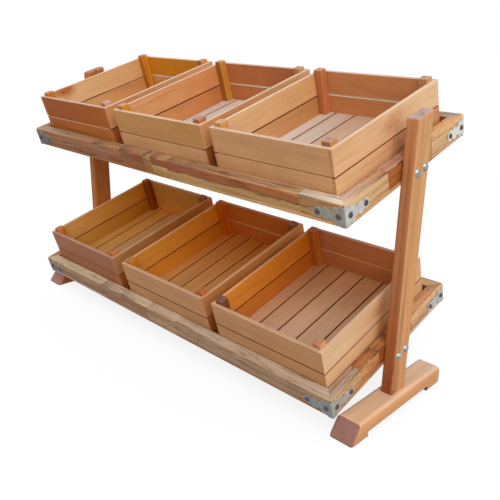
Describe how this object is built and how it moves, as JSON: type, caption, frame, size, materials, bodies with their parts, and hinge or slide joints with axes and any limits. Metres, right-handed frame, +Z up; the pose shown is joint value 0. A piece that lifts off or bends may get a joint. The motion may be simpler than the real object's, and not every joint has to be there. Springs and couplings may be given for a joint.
{
  "type": "basket display stand",
  "caption": "Tiered wooden shop display stand: tilted trays between side posts on long feet, holding loose slatted crates that lift out.",
  "frame": {"origin": "on the floor, below the middle of the trays", "axes": "+X along the trays to the right as seen from the front, front towards -Y, +Z up"},
  "size_m": [1.082, 0.3964, 0.6377],
  "materials": {
    "post_wood": "oiled, reddish brown",
    "foot_wood": "oiled, orange tan",
    "rail_wood": "finger-jointed staves, tan to reddish brown",
    "base_wood": "light board",
    "slat_wood": "planed, tan",
    "inner_slat_wood": "planed, orange brown",
    "corner_post_wood": "amber with dark streaks",
    "floor_wood": "planed, pinkish grey",
    "runner_wood": "planed, tan",
    "dowel_wood": "plain",
    "galvanised": "spangled zinc",
    "dark_screw": "dark, satin",
    "zinc": "bright zinc"
  },
  "bodies": {
    "stand": {"left_post": "post_wood", "right_post": "post_wood", "left_foot": "foot_wood", "right_foot": "foot_wood", "upper_front_rail": "rail_wood", "upper_back_rail": "rail_wood", "upper_left_rail": "rail_wood", "upper_right_rail": "rail_wood", "upper_base_board": "base_wood", "upper_corner_plates": "galvanised", "upper_plate_screws": "dark_screw", "lower_front_rail": "rail_wood", "lower_back_rail": "rail_wood", "lower_left_rail": "rail_wood", "lower_right_rail": "rail_wood", "lower_base_board": "base_wood", "lower_corner_plates": "galvanised", "lower_plate_screws": "dark_screw", "carriage_bolts": "zinc", "bolt_washers": "zinc", "bolt_nuts": "zinc", "coach_screws": "zinc", "coach_washers": "zinc", "foot_dowels": "dowel_wood"},
    "upper_left_crate": {"upper_left_crate_front_slats": "slat_wood", "upper_left_crate_back_slats": "inner_slat_wood", "upper_left_crate_side_slats": "slat_wood", "upper_left_crate_corner_posts": "corner_post_wood", "upper_left_crate_floor_boards": "floor_wood", "upper_left_crate_runners": "runner_wood"},
    "upper_middle_crate": {"upper_middle_crate_front_slats": "slat_wood", "upper_middle_crate_back_slats": "inner_slat_wood", "upper_middle_crate_side_slats": "slat_wood", "upper_middle_crate_corner_posts": "corner_post_wood", "upper_middle_crate_floor_boards": "floor_wood", "upper_middle_crate_runners": "runner_wood"},
    "upper_right_crate": {"upper_right_crate_front_slats": "slat_wood", "upper_right_crate_back_slats": "inner_slat_wood", "upper_right_crate_side_slats": "slat_wood", "upper_right_crate_corner_posts": "corner_post_wood", "upper_right_crate_floor_boards": "floor_wood", "upper_right_crate_runners": "runner_wood"},
    "lower_left_crate": {"lower_left_crate_front_slats": "slat_wood", "lower_left_crate_back_slats": "inner_slat_wood", "lower_left_crate_side_slats": "slat_wood", "lower_left_crate_corner_posts": "corner_post_wood", "lower_left_crate_floor_boards": "floor_wood", "lower_left_crate_runners": "runner_wood"},
    "lower_middle_crate": {"lower_middle_crate_front_slats": "slat_wood", "lower_middle_crate_back_slats": "inner_slat_wood", "lower_middle_crate_side_slats": "slat_wood", "lower_middle_crate_corner_posts": "corner_post_wood", "lower_middle_crate_floor_boards": "floor_wood", "lower_middle_crate_runners": "runner_wood"},
    "lower_right_crate": {"lower_right_crate_front_slats": "slat_wood", "lower_right_crate_back_slats": "inner_slat_wood", "lower_right_crate_side_slats": "slat_wood", "lower_right_crate_corner_posts": "corner_post_wood", "lower_right_crate_floor_boards": "floor_wood", "lower_right_crate_runners": "runner_wood"}
  },
  "joints": [
    {"name": "upper_left_crate_lift", "type": "slide", "parent": "stand", "child": "upper_left_crate", "axis": [0, -0.2924, 0.9563], "range_m": [0, 0.14]},
    {"name": "upper_middle_crate_lift", "type": "slide", "parent": "stand", "child": "upper_middle_crate", "axis": [0, -0.2924, 0.9563], "range_m": [0, 0.14]},
    {"name": "upper_right_crate_lift", "type": "slide", "parent": "stand", "child": "upper_right_crate", "axis": [0, -0.2924, 0.9563], "range_m": [0, 0.14]},
    {"name": "lower_left_crate_lift", "type": "slide", "parent": "stand", "child": "lower_left_crate", "axis": [0, -0.2924, 0.9563], "range_m": [0, 0.14]},
    {"name": "lower_middle_crate_lift", "type": "slide", "parent": "stand", "child": "lower_middle_crate", "axis": [0, -0.2924, 0.9563], "range_m": [0, 0.14]},
    {"name": "lower_right_crate_lift", "type": "slide", "parent": "stand", "child": "lower_right_crate", "axis": [0, -0.2924, 0.9563], "range_m": [0, 0.14]}
  ]
}
